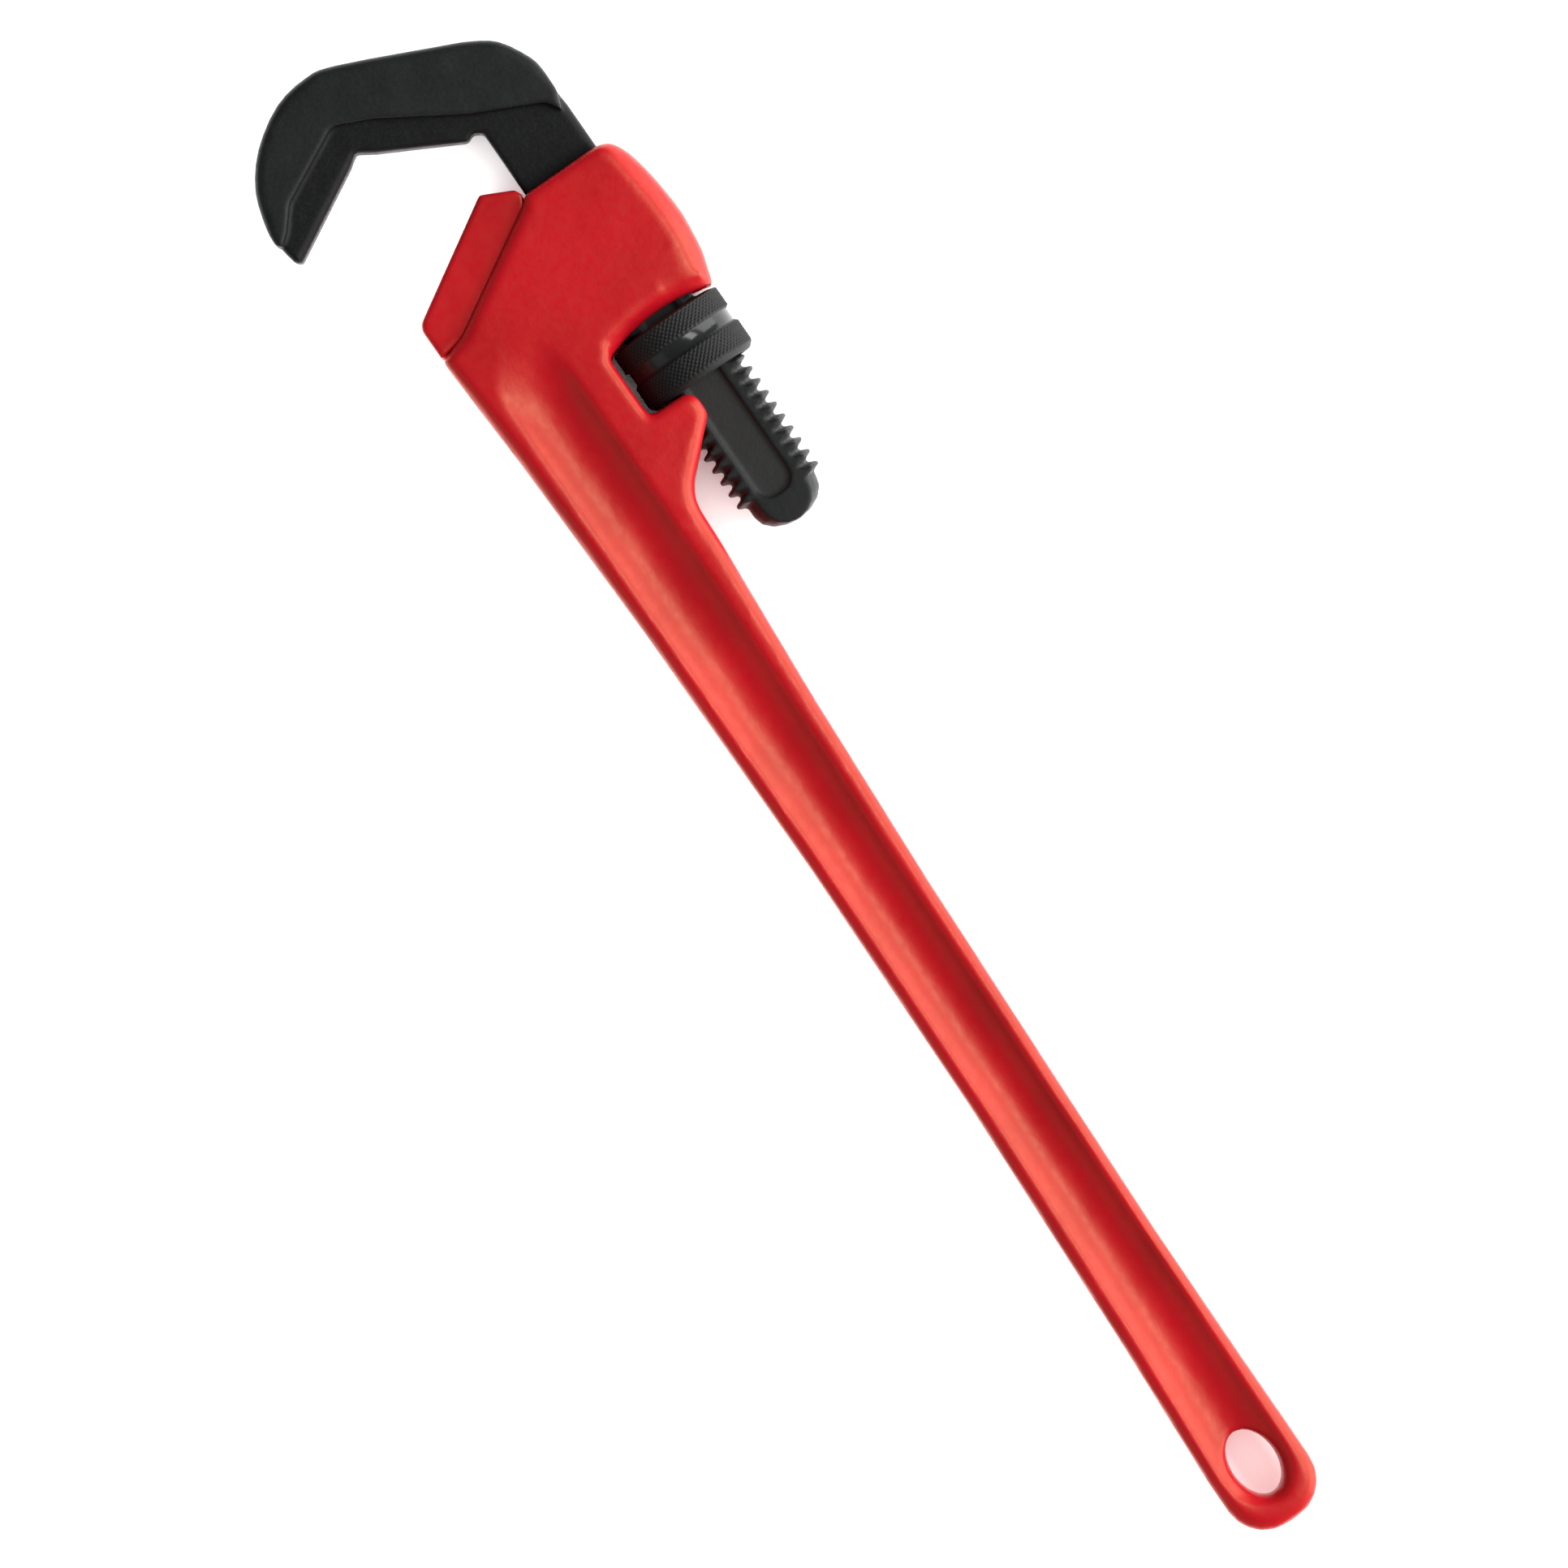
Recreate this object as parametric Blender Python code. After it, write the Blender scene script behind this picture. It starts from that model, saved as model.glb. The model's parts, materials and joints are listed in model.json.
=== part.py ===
"""A straight-handled hex wrench with smooth jaws, a screw-fed hook jaw and a floating nut.

The wrench lies flat: +X runs along the hook jaw's shank towards the hook, +Y from the
shank to the jaw side, +Z up out of the side face. Sizes are in millimetres and MM turns
them into metres. The nut's middle on the shank axis is the local origin, and the frame
empty puts the middle of the wrench's underside at the world origin.
"""

import math

import bmesh
import bpy
from mathutils import Matrix, Vector

MM = 0.001
MERGE_MM = 0.01
SMOOTH_DEG = 35

# where the local origin lies in the world
FRAME_SHIFT = (121.8, -29.25, 17.5)

# handle and housing, one casting
HEAD_HALF = 15.5
HANDLE_HALF = 9.0
HEAD_ENDS_X = 8.0
HANDLE_STARTS_X = -150.0
VALLEY_DEPTH = 3.6
VALLEY_STARTS_X = 29.0
VALLEY_FULL_X = 16.0
VALLEY_ENDS_X = -361.0
HOLE_CENTRE = (-348.0, 47.0)
HOLE_HALF = (10.25, 6.65)
# how far the hanging hole has widened at each height from the middle
HOLE_FLARE = ((4.6, 0.0), (6.0, 0.4), (7.4, 1.3), (9.6, 3.0))
SEAT_RADIUS = 60.0
SEAT_TOP_X = 13.5

# hook jaw
PLATE_HALF = 7.5
HOOK_HALF = 11.0
SHANK_BACK_Y = -11.2
SHANK_FRONT_Y = 12.9
AXIS_Y = 1.0
PITCH = 4.05
CORE_RADIUS = 10.6
CREST_RADIUS = 13.2
CORE_HALF_WIDTH = 1.46
CREST_HALF_WIDTH = 0.45
THREAD_CLEARANCE = 0.4
THREAD_TO_X = 31.0
THREAD_TURNS = (-12, 4)
TAIL_X = -49.5
TAIL_LENGTH = 7.4
PANEL_DEPTH = 1.1

# adjusting nut
NUT_RADIUS = 17.5
NUT_BOTTOM_X = -9.2
NUT_GAP = 0.45
NUT_GROOVE = (-0.4, 3.9)
NUT_GROOVE_DEPTH = 1.0
NUT_FACE_RADIUS = 14.4
NUT_STEPS = 48

# heel jaw, its pin and the step that it stands in
STEP_TOP = Vector((59.4, 15.6))
STEP_LOW = Vector((39.2, 50.2))
HEEL_HALF = 12.9
TONGUE_FROM = 12.0
TONGUE_TO = 36.0
TONGUE_DEPTH = 8.0
TONGUE_HALF = 10.8
PIN_RADIUS = 2.5
PIN_CLEARANCE = 0.3

# slot for the shank, springs and rivet
SLOT_HALF = 8.0
SLOT_BACK_Y = -14.6
SLOT_FRONT_Y = 14.8
MOUTH_FROM_X = 52.0
MOUTH_BACK_Y = -12.4
MOUTH_FRONT_Y = 13.25
LEAF_THICK = 0.7
LEAF_HALF_WIDTH = 4.5
LEAF_X = (17.0, 49.0)
RIVET_X = 24.0
RIVET_RADIUS = 1.7
COIL_X = 40.0
COIL_Y = (13.3, 24.3)
COIL_RADIUS = 2.6
COIL_WIRE = 0.5
COIL_TURNS = 5
GAP = 0.3

# how far in from the outline and down from the face an edge runs, in shares of its size
CAST_EDGE = ((0.0, 1.0), (0.12, 0.66), (0.66, 0.12), (1.0, 0.0))
ROUND_EDGE = ((0.0, 1.0), (0.13, 0.5), (0.5, 0.13), (1.0, 0.0))


# ---------------------------------------------------------------- tools


def rounded(corners, steps=5):
    """Closed outline through (x, y, corner radius, edge rounding) corners, anticlockwise.

    Each point of an outline is (x, y, edge rounding).
    """
    points = []
    count = len(corners)
    for i, (x, y, radius, edge) in enumerate(corners):
        here = Vector((x, y))
        if radius == 0.0:
            points.append(Vector((x, y, edge)))
            continue
        back = (Vector(corners[i - 1][:2]) - here).normalized()
        ahead = (Vector(corners[(i + 1) % count][:2]) - here).normalized()
        half = back.angle(ahead) / 2
        centre = here + (back + ahead).normalized() * (radius / math.sin(half))
        start = here + back * (radius / math.tan(half)) - centre
        turn = start.angle_signed(here + ahead * (radius / math.tan(half)) - centre)
        for step in range(steps + 1):
            spot = centre + Matrix.Rotation(-turn * step / steps, 2) @ start
            points.append(Vector((spot.x, spot.y, edge)))
    return points


def curve(points, steps=3):
    """Smooth run of outline points through (x, y, edge rounding) points, first and last included."""
    knots = [Vector(point) for point in points]
    ghosts = [knots[0] * 2 - knots[1]] + knots + [knots[-1] * 2 - knots[-2]]
    run = []
    for before, start, end, after in zip(ghosts, ghosts[1:], ghosts[2:], ghosts[3:]):
        for step in range(steps):
            t = step / steps
            pull_in = (end - before) / 2
            pull_out = (after - start) / 2
            cubic = (start - end) * 2 + pull_in + pull_out
            square = (end - start) * 3 - pull_in * 2 - pull_out
            run.append(((cubic * t + square) * t + pull_in) * t + start)
    run.append(knots[-1])
    return run


def circle(centre, radius, count=24):
    """Round outline."""
    turns = [2 * math.pi * i / count for i in range(count)]
    return [Vector((centre[0] + radius * math.cos(t), centre[1] + radius * math.sin(t), 0)) for t in turns]


def lerp_table(table, x):
    """Value at x between the (x, value) rows of a table that runs down in x."""
    for (x0, v0), (x1, v1) in zip(table, table[1:]):
        if x >= x1:
            share = min(max((x0 - x) / (x0 - x1), 0.0), 1.0)
            return v0 + (v1 - v0) * share
    return table[-1][1]


def loft(rings, closed=False):
    """Bmesh skin over rings of equally many points, capped at both ends unless they meet."""
    bm = bmesh.new()
    loops = [[bm.verts.new(Vector(p) * MM) for p in ring] for ring in rings]
    for near, far in zip(loops, loops[1:]):
        for i in range(len(near)):
            j = (i + 1) % len(near)
            bm.faces.new((near[i], near[j], far[j], far[i]))
    if closed:
        bmesh.ops.remove_doubles(bm, verts=bm.verts, dist=MERGE_MM * MM)
        bmesh.ops.dissolve_degenerate(bm, edges=bm.edges, dist=MERGE_MM * MM)
    else:
        bm.faces.new(reversed(loops[0]))
        bm.faces.new(loops[-1])
    bmesh.ops.recalc_face_normals(bm, faces=bm.faces)
    return bm


def prism(outline, low, high):
    """Straight prism along Z over an outline."""
    return loft([[(p.x, p.y, z) for p in outline] for z in (low, high)])


def inset(outline, share):
    """Outline with each point moved in by a share of its edge rounding, square to both its edges."""
    moved = []
    for i, point in enumerate(outline):
        back = (point - outline[i - 1]).to_2d().normalized()
        ahead = (outline[(i + 1) % len(outline)] - point).to_2d().normalized()
        inward = Vector((-back.y, back.x)) + Vector((-ahead.y, ahead.x))
        inward /= 1 + back.dot(ahead)
        moved.append(point.to_2d() + inward * point.z * share)
    return moved


def soft_prism(outline, half, edge=ROUND_EDGE):
    """Prism between -half and half whose rims follow an edge section, sized by each point's rounding."""
    rings = []
    for side, section in ((-1, reversed(edge)), (1, edge)):
        for share, drop in section:
            flat = inset(outline, share)
            rings.append([(p.x, p.y, side * (half - q.z * drop)) for p, q in zip(flat, outline)])
    return loft(rings)


def upright(bm):
    """Turns a prism along Z into one along Y, with its outline's y running along -Z."""
    bmesh.ops.rotate(bm, verts=bm.verts, cent=(0, 0, 0), matrix=Matrix.Rotation(-math.pi / 2, 3, "X"))
    return bm


def ease(share):
    """Smooth step from 0 to 1."""
    share = min(max(share, 0.0), 1.0)
    return share * share * (3 - 2 * share)


def add(name, bm, material=None):
    """Adds a bmesh as an object under the frame empty; one without a material is a cutter."""
    mesh = bpy.data.meshes.new(name)
    bm.to_mesh(mesh)
    bm.free()
    mesh.shade_smooth()
    mesh.set_sharp_from_angle(angle=math.radians(SMOOTH_DEG))
    obj = bpy.data.objects.new(name, mesh)
    bpy.context.collection.objects.link(obj)
    obj.parent = frame
    if material:
        mesh.materials.append(material)
    else:
        obj.hide_render = True
        obj.display_type = "WIRE"
    return obj


def combine(obj, tool, operation):
    """Adds an exact Boolean of obj with a tool object."""
    modifier = obj.modifiers.new(tool.name, "BOOLEAN")
    modifier.operation = operation
    modifier.object = tool
    modifier.solver = "EXACT"


def thread_corners(extra=0.0):
    """The (x, radius) corners of one thread ridge about its middle, each face moved out by extra."""
    slope = (CORE_HALF_WIDTH - CREST_HALF_WIDTH) / (CREST_RADIUS - CORE_RADIUS)
    side = extra * math.hypot(1.0, slope) - slope * extra
    low = CORE_RADIUS + extra
    high = CREST_RADIUS + extra
    wide = CORE_HALF_WIDTH + side
    narrow = CREST_HALF_WIDTH + side
    return [(-wide, low), (-narrow, high), (narrow, high), (wide, low)]


def finish(name, colour, roughness, metallic):
    """Principled material from an sRGB hex colour."""
    material = bpy.data.materials.new(name)
    material.use_nodes = True
    shader = material.node_tree.nodes["Principled BSDF"]
    channels = [int(colour[i : i + 2], 16) / 255 for i in (0, 2, 4)]
    linear = [c / 12.92 if c <= 0.04045 else ((c + 0.055) / 1.055) ** 2.4 for c in channels]
    shader.inputs["Base Color"].default_value = (*linear, 1)
    shader.inputs["Roughness"].default_value = roughness
    shader.inputs["Metallic"].default_value = metallic
    return material


# ---------------------------------------------------------------- handle and housing


def housing_outline():
    """Side view of the casting, from the handle's end along its back, round the head and down its front."""
    wall = 19.8
    front = rounded(
        [
            (-320.0, 33.0, 0.0, 3.0),
            (-280.0, 32.7, 0.0, 3.0),
            (-230.0, 31.4, 0.0, 3.0),
            (-160.0, 29.3, 0.0, 3.0),
            (-100.0, 26.5, 0.0, 3.0),
            (-50.0, 23.2, 0.0, 3.0),
            (-34.4, 22.7, 14.0, 3.0),
            (-18.1, 5.6, 3.4, 2.4),
            (-9.8, 5.6, 4.0, 2.0),
            (-9.8, wall, 2.0, 1.8),
            (10.3, wall, 1.8, 2.0),
            (15.9, 1.6, 59.0, 4.6),
            (11.2, -16.2, 0.0, 5.6),
        ]
    )
    back = curve(
        [
            (20.5, -19.1, 6.0),
            (32.0, -20.4, 6.2),
            (44.0, -19.7, 6.0),
            (54.0, -17.9, 5.4),
            (59.6, -15.2, 3.8),
            (61.4, -11.6, 2.0),
        ]
    )
    rest = rounded(
        [
            (61.5, -8.0, 0.0, 1.6),
            (61.5, MOUTH_FRONT_Y, 0.0, 1.2),
            (STEP_TOP.x, STEP_TOP.y, 0.0, 2.4),
            (STEP_LOW.x, STEP_LOW.y, 10.0, 2.6),
            (36.0, 58.8, 0.0, 2.2),
            (22.0, 58.2, 0.0, 3.0),
            (0.0, 57.1, 0.0, 3.0),
            (-60.0, 55.4, 0.0, 3.0),
            (-140.0, 54.7, 0.0, 3.0),
            (-220.0, 55.8, 0.0, 3.0),
            (-300.0, 58.6, 0.0, 3.0),
            (-345.0, 60.8, 0.0, 3.4),
            (-367.4, 61.0, 12.0, 3.6),
            (-367.4, 33.2, 12.0, 3.6),
            (-345.0, 33.0, 0.0, 3.4),
        ]
    )
    return front + back + rest


def half_thickness(x):
    """Half the casting's thickness along the wrench: the head slims down into the handle."""
    slim = ease((HEAD_ENDS_X - x) / (HEAD_ENDS_X - HANDLE_STARTS_X))
    return HEAD_HALF + (HANDLE_HALF - HEAD_HALF) * slim


def valley_ring(x, side):
    """Section of the hollow between the handle's rims: a flat arc, closed above the surface."""
    low = lerp_table([(20, 30.4), (-60, 30.6), (-150, 33.2), (-230, 34.8), (-300, 35.6), (-348, 36.6)], x)
    high = lerp_table([(20, 51.4), (-60, 51.2), (-150, 51.2), (-230, 52.2), (-300, 54.6), (-348, 58.0)], x)
    into_start = max((x - VALLEY_FULL_X) / (VALLEY_STARTS_X - VALLEY_FULL_X), 0.0)
    into_end = max((x - HOLE_CENTRE[0]) / (VALLEY_ENDS_X - HOLE_CENTRE[0]), 0.0)
    narrow = math.sqrt(max(1 - max(into_start, into_end) ** 2, 0.003))
    depth = VALLEY_DEPTH * ease((VALLEY_STARTS_X - x) / 26.0) * ease((x - VALLEY_ENDS_X) / 7.0)
    depth = max(depth, 0.05)
    middle = (low + high) / 2
    half = (high - low) / 2 * narrow
    radius = (half * half + depth * depth) / (2 * depth)
    surface = half_thickness(x)
    ring = []
    for step in range(9):
        across = half * (step / 4 - 1)
        drop = math.sqrt(radius * radius - across * across) - (radius - depth)
        ring.append((x, middle + across, side * (surface - drop)))
    above = side * (surface + 4.0)
    ring.append((x, middle + half, above))
    ring.append((x, middle - half, above))
    return ring


def valley(side):
    """Long hollow in one side of the handle, from the head to round the hanging hole."""
    stations = [28.8, 27.5, 25, 21, 16, 8, 0, -15, -40, -70, -100, -125, -150]
    stations += [-190, -230, -270, -305, -335, -348, -353, -356.5, -358.8, -360.2, -360.9]
    return loft([valley_ring(x, side) for x in stations])


def hanging_hole():
    """Oval hole through the handle's end, flared at both faces."""
    rings = []
    lower = [(-z, flare) for z, flare in reversed(HOLE_FLARE)]
    for z, flare in (*lower, *HOLE_FLARE):
        ring = []
        for i in range(32):
            turn = 2 * math.pi * i / 32
            x = HOLE_CENTRE[0] + (HOLE_HALF[0] + flare) * math.cos(turn)
            y = HOLE_CENTRE[1] + (HOLE_HALF[1] + flare) * math.sin(turn)
            ring.append((x, y, z))
        rings.append(ring)
    return loft(rings)


def step_point(along, out):
    """Point on the head's step line, so far along it and so far out from it."""
    line = (STEP_LOW - STEP_TOP).normalized()
    outward = Vector((line.y, -line.x))
    return (STEP_TOP + line * along + outward * out).to_3d()


def box_outline(low_x, high_x, low_y, high_y):
    """Rectangle outline."""
    corners = ((low_x, low_y), (high_x, low_y), (high_x, high_y), (low_x, high_y))
    return [Vector((x, y, 0)) for x, y in corners]


def handle_housing(paint):
    """I-section handle cast in one with the head that houses the shank, nut and heel jaw."""
    bm = soft_prism(housing_outline(), HEAD_HALF, CAST_EDGE)
    for x in (0, -10, -20, -35, -50, -65, -80, -95, -110, -125, -140, -155):
        geometry = bm.verts[:] + bm.edges[:] + bm.faces[:]
        bmesh.ops.bisect_plane(bm, geom=geometry, plane_co=(x * MM, 0, 0), plane_no=(1, 0, 0))
    for vert in bm.verts:
        vert.co.z *= half_thickness(vert.co.x / MM) / HEAD_HALF
    body = add("handle_housing", bm, paint)
    pocket = [
        step_point(TONGUE_TO + GAP, 6.0),
        step_point(TONGUE_TO + GAP, -TONGUE_DEPTH - GAP),
        step_point(TONGUE_FROM - GAP, -TONGUE_DEPTH - GAP),
        step_point(TONGUE_FROM - GAP, 6.0),
    ]
    pin_at = step_point((TONGUE_FROM + TONGUE_TO) / 2, -TONGUE_DEPTH / 2)
    inner = box_outline(5.0, MOUTH_FROM_X, SLOT_BACK_Y, SLOT_FRONT_Y)
    mouth = box_outline(MOUTH_FROM_X - 2.0, 66.0, MOUTH_BACK_Y, MOUTH_FRONT_Y)
    fork = box_outline(-45.0, -5.0, -5.0, 15.8)
    hole = PIN_RADIUS + PIN_CLEARANCE
    cutters = [
        ("cut_slot", prism(inner, -SLOT_HALF, SLOT_HALF)),
        ("cut_mouth", prism(mouth, -SLOT_HALF, SLOT_HALF)),
        ("cut_fork", prism(fork, -SLOT_HALF, SLOT_HALF)),
        ("cut_heel_pocket", prism(pocket, -TONGUE_HALF - GAP, TONGUE_HALF + GAP)),
        ("cut_pin_hole", prism(circle(pin_at, hole), -20.0, HEAD_HALF - 2.2)),
        ("cut_rivet_hole", upright(prism(circle((RIVET_X, 0), RIVET_RADIUS + GAP), -25.0, -13.0))),
        ("cut_coil_pocket", upright(prism(circle((COIL_X, 0), COIL_RADIUS + 1.2), 13.0, COIL_Y[1] + 0.4))),
        ("cut_hanging_hole", hanging_hole()),
        ("cut_valley_top", valley(1)),
        ("cut_valley_bottom", valley(-1)),
    ]
    for name, bm in cutters:
        combine(body, add(name, bm), "DIFFERENCE")


# ---------------------------------------------------------------- hook jaw


def plate_outline():
    """Side view of the plate through the whole hook jaw; its back lies inside the thick body."""
    inside = rounded(
        [
            (81.9, 76.3, 0.0, 1.6),
            (81.5, 75.4, 0.0, 2.4),
            (95.8, 49.4, 6.0, 2.2),
            (98.5, 45.7, 1.2, 1.5),
            (95.4, 41.0, 3.0, 1.5),
            (85.6, 22.5, 0.0, 1.5),
            (83.2, 17.9, 0.8, 0.6),
            (84.3, 15.4, 0.8, 0.6),
            (82.7, SHANK_FRONT_Y, 0.6, 0.9),
            (THREAD_TO_X, SHANK_FRONT_Y, 0.0, 0.9),
            (THREAD_TO_X, SHANK_BACK_Y, 0.0, 0.9),
        ]
    )
    outside = curve(
        [
            (76.0, SHANK_BACK_Y, 2.2),
            (84.0, -10.4, 2.2),
            (92.8, -8.6, 2.2),
            (100.4, -4.2, 2.2),
            (109.0, 10.6, 2.2),
            (120.5, 37.0, 2.2),
            (122.3, 45.0, 2.2),
            (120.5, 55.6, 2.2),
            (113.4, 66.8, 2.2),
            (104.5, 73.8, 2.2),
            (95.0, 77.2, 2.2),
            (88.5, 78.1, 2.0),
            (83.0, 77.2, 1.2),
        ]
    )
    return outside + inside


def body_outline():
    """Side view of the thick outer part of the hook: its inner edge stands back from the jaw faces."""
    outside = curve(
        [
            (81.0, -11.0, 0.8),
            (88.0, -11.1, 2.2),
            (93.1, -10.0, 2.4),
            (101.2, -5.4, 2.4),
            (105.9, 1.0, 2.4),
            (110.2, 10.0, 2.4),
            (121.9, 36.2, 2.4),
            (123.8, 45.0, 2.4),
            (121.9, 56.2, 2.4),
            (114.6, 67.7, 2.4),
            (105.4, 75.0, 2.4),
            (95.0, 78.4, 2.2),
            (89.6, 78.9, 1.2),
        ]
    )
    inside = rounded(
        [
            (88.2, 77.6, 0.0, 0.4),
            (91.0, 74.2, 0.0, 0.6),
            (97.2, 69.0, 5.0, 0.6),
            (108.4, 46.8, 4.0, 0.6),
            (103.5, 36.0, 0.0, 0.6),
            (89.2, 13.0, 0.0, 0.6),
            (79.8, -6.4, 5.0, 0.6),
            (75.5, -9.0, 0.0, 0.4),
        ]
    )
    return outside + inside


def thread_slice(z):
    """Outline of the threaded shank at height z: every ridge is a slice through a right-hand helix."""
    def edge(side, turns):
        run = []
        for turn in turns:
            for offset, radius in thread_corners():
                swing = math.asin(z / radius) * side / (2 * math.pi)
                x = (turn + (0.0 if side > 0 else 0.5) + swing) * PITCH + offset
                run.append((x, AXIS_Y + side * math.sqrt(radius * radius - z * z), z))
        return run

    root = math.sqrt(CORE_RADIUS * CORE_RADIUS - z * z)
    first, last = THREAD_TURNS
    ring = [(THREAD_TO_X + 1.5, AXIS_Y - root, z), (THREAD_TO_X + 1.5, AXIS_Y + root, z)]
    ring += reversed(edge(1, range(first + 1, last + 1)))
    for i in range(9):
        swing = math.pi / 2 * (1 - i / 4)
        ring.append((TAIL_X - TAIL_LENGTH * math.cos(swing), AXIS_Y + root * math.sin(swing), z))
    ring += edge(-1, range(first, last))
    return ring


def hook_jaw(black):
    """Forged hook with a flat shank whose edges carry the thread."""
    body = add("hook_jaw", soft_prism(plate_outline(), PLATE_HALF), black)
    combine(body, add("join_hook_body", soft_prism(body_outline(), HOOK_HALF)), "UNION")

    slab_half = PLATE_HALF - 0.05
    slices = [thread_slice(slab_half * i / 3) for i in range(-3, 4)]
    combine(body, add("join_threaded_shank", loft(slices)), "UNION")
    panel_to = THREAD_TO_X - 1.0
    panel = rounded(
        [(panel_to, -4.2, 0, 0), (panel_to, 7.2, 0, 0), (-48.0, 7.2, 5.0, 0), (-48.0, -4.2, 5.0, 0)]
    )
    for side in (-1, 1):
        outer = side * (PLATE_HALF + 2.0)
        inner = side * (PLATE_HALF - PANEL_DEPTH)
        cutter = add(f"cut_panel_{side}", prism(panel, min(outer, inner), max(outer, inner)))
        combine(body, cutter, "DIFFERENCE")


# ---------------------------------------------------------------- adjusting nut


def nut_thread(turn, top_x, bottom_x):
    """Points down the bore at one angle, from the top face to the bottom: a female thread with clearance.

    Corners past a face gather at that face, so that every angle has equally many points.
    """
    lead = turn / (2 * math.pi)
    corners = [((n + lead) * PITCH + x, r) for n in range(-5, 6) for x, r in thread_corners(THREAD_CLEARANCE)]
    corners.reverse()
    points = []
    for x, radius in corners:
        held = min(max(x, bottom_x), top_x)
        if held != x:
            radius = lerp_table(corners, held)
        points.append((held, radius))
    return points


def adjusting_nut(black):
    """Ring nut with a domed thrust face, a groove between two bands and a right-hand thread."""
    dome = SEAT_RADIUS - NUT_GAP
    centre_x = SEAT_TOP_X - SEAT_RADIUS
    dome_edge = NUT_RADIUS - 0.7
    low, high = NUT_GROOVE
    floor = NUT_RADIUS - NUT_GROOVE_DEPTH
    profile = [
        (NUT_BOTTOM_X, NUT_RADIUS - 1.6),
        (NUT_BOTTOM_X + 1.3, NUT_RADIUS - 0.2),
        (NUT_BOTTOM_X + 1.8, NUT_RADIUS),
        (low - 0.3, NUT_RADIUS),
        (low + 0.2, floor),
        (high - 0.2, floor),
        (high + 0.3, NUT_RADIUS),
        (9.4, NUT_RADIUS),
    ]
    for step in range(3):
        radius = dome_edge + (NUT_FACE_RADIUS - dome_edge) * step / 2
        profile.append((centre_x + math.sqrt(dome * dome - radius * radius), radius))
    rings = []
    for i in range(NUT_STEPS):
        turn = 2 * math.pi * i / NUT_STEPS
        section = profile + nut_thread(turn, profile[-1][0], profile[0][0])
        across, up = math.cos(turn), math.sin(turn)
        rings.append([(x, AXIS_Y + radius * across, radius * up) for x, radius in section])
    bore_from = len(profile)
    rings.append(rings[0][: bore_from + 4] + rings[0][bore_from:-4])
    add("adjusting_nut", loft(rings, closed=True), black)


# ---------------------------------------------------------------- heel jaw and pin


def heel_jaw(paint):
    """Flat-faced lower jaw whose tongue sits between the head's cheeks."""
    outline = rounded(
        [
            (62.0, 13.7, 0.0, 0.3),
            (64.3, 14.7, 1.0, 0.9),
            (68.8, 23.8, 1.2, 1.0),
            (47.7, 58.7, 4.0, 1.0),
            (36.8, 58.6, 0.0, 0.9),
            (STEP_LOW.x + 0.5, STEP_LOW.y + 0.5, 9.0, 0.3),
            (*step_point(0.5, GAP).xy, 0.0, 0.2),
        ]
    )
    jaw = add("heel_jaw", soft_prism(outline, HEEL_HALF), paint)
    corners = [(TONGUE_TO, 3.0), (TONGUE_TO, -TONGUE_DEPTH), (TONGUE_FROM, -TONGUE_DEPTH), (TONGUE_FROM, 3.0)]
    tongue = prism([step_point(along, out) for along, out in corners], -TONGUE_HALF, TONGUE_HALF)
    combine(jaw, add("join_heel_tongue", tongue), "UNION")
    pin_at = step_point((TONGUE_FROM + TONGUE_TO) / 2, -TONGUE_DEPTH / 2)
    hole = prism(circle(pin_at, PIN_RADIUS + PIN_CLEARANCE), -20.0, 20.0)
    combine(jaw, add("cut_heel_pin_hole", hole), "DIFFERENCE")


def heel_jaw_pin(steel):
    """Plain pin pressed in from the underside through the cheeks and the tongue."""
    pin_at = step_point((TONGUE_FROM + TONGUE_TO) / 2, -TONGUE_DEPTH / 2)
    bm = prism(circle(pin_at, PIN_RADIUS), 0.3 - HEAD_HALF, HEAD_HALF - 2.6)
    add("heel_jaw_pin", bm, steel)


# ---------------------------------------------------------------- springs and rivet


def leaf_middle(x):
    """Height of the flat spring's middle: flat on the wall at its rivet, raised to the shank at its end."""
    rest = SLOT_BACK_Y + GAP + LEAF_THICK / 2
    touch = SHANK_BACK_Y - GAP - LEAF_THICK / 2
    curl = 0.5 * ease((x - 46.0) / 3.0)
    return rest + (touch - rest) * ease((x - 32.5) / 12.5) - curl


def leaf_spring(steel):
    """Flat spring behind the shank."""
    start, end = LEAF_X
    xs = [start, 32.5, 35, 37.5, 40, 42.5, 45, 47, end]
    lower = [Vector((x, leaf_middle(x) - LEAF_THICK / 2, 0)) for x in xs]
    upper = [Vector((x, leaf_middle(x) + LEAF_THICK / 2, 0)) for x in reversed(xs)]
    leaf = add("leaf_spring", prism(lower + upper, -LEAF_HALF_WIDTH, LEAF_HALF_WIDTH), steel)
    hole = upright(prism(circle((RIVET_X, 0), RIVET_RADIUS + 0.6), -20.0, -10.0))
    combine(leaf, add("cut_leaf_hole", hole), "DIFFERENCE")


def spring_rivet(steel):
    """Flush rivet that holds the flat spring to the head's back wall."""
    head_low = SLOT_BACK_Y + LEAF_THICK + 2 * GAP
    shaft = upright(prism(circle((RIVET_X, 0), RIVET_RADIUS), -19.4, head_low + 0.2))
    head = upright(prism(circle((RIVET_X, 0), RIVET_RADIUS + 1.3), head_low, head_low + 0.55))
    rivet = add("spring_rivet", shaft, steel)
    combine(rivet, add("join_rivet_head", head), "UNION")


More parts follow.
